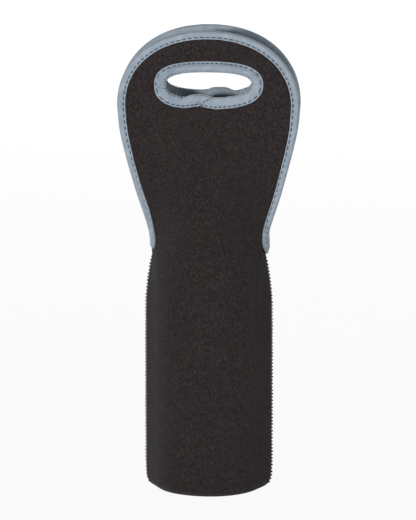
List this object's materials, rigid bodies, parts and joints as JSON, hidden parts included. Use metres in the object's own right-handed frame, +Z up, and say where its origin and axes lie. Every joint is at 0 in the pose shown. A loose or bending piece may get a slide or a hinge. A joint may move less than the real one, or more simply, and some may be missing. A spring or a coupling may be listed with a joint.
{
  "type": "bottle carrier",
  "caption": "Padded sleeve with a flat base and two rounded, tape-bound lobes above a narrow throat, each with an oval hand slot, for carrying one tall bottle.",
  "frame": {"origin": "middle of the base, on the surface that the carrier stands on", "axes": "+Z up along the sleeve; +X along the lobes' width, from the left to the right side seam; the front panel faces -Y"},
  "size_m": [0.1324, 0.082, 0.3405],
  "materials": {
    "jersey": "charcoal knitted nylon jersey, matt",
    "foam": "closed-cell foam sheet, black",
    "lining": "black knitted jersey, matt",
    "tape": "grey blue ribbed binding tape",
    "thread": "slate blue sewing thread",
    "seam_thread": "black overlock thread"
  },
  "bodies": {
    "sleeve": {"front_sleeve_jersey": "jersey", "front_sleeve_foam": "foam", "front_sleeve_lining": "lining", "back_sleeve_jersey": "jersey", "back_sleeve_foam": "foam", "back_sleeve_lining": "lining", "base_jersey": "jersey", "base_foam": "foam", "base_lining": "lining", "left_seam_thread": "seam_thread", "right_seam_thread": "seam_thread", "base_seam_thread": "seam_thread", "left_bar_tack": "seam_thread", "right_bar_tack": "seam_thread"},
    "front_lobe": {"front_lobe_jersey": "jersey", "front_lobe_foam": "foam", "front_lobe_lining": "lining", "front_edge_binding": "tape", "front_slot_binding": "tape", "front_edge_stitching": "thread", "front_slot_stitching": "thread"},
    "back_lobe": {"back_lobe_jersey": "jersey", "back_lobe_foam": "foam", "back_lobe_lining": "lining", "back_edge_binding": "tape", "back_slot_binding": "tape", "back_edge_stitching": "thread", "back_slot_stitching": "thread"}
  },
  "joints": [
    {"name": "front_lobe_fold", "type": "hinge", "parent": "sleeve", "child": "front_lobe", "pos_m": [0, -0.0409, 0.1782], "axis": [1, 0, 0], "range_deg": [-2.5, 40], "stiffness_Nm_per_rad": 0.6, "springref_deg": 0.42},
    {"name": "back_lobe_fold", "type": "hinge", "parent": "sleeve", "child": "back_lobe", "pos_m": [0, 0.0409, 0.1782], "axis": [-1, 0, 0], "range_deg": [-2.5, 40], "stiffness_Nm_per_rad": 0.6, "springref_deg": 0.42}
  ]
}
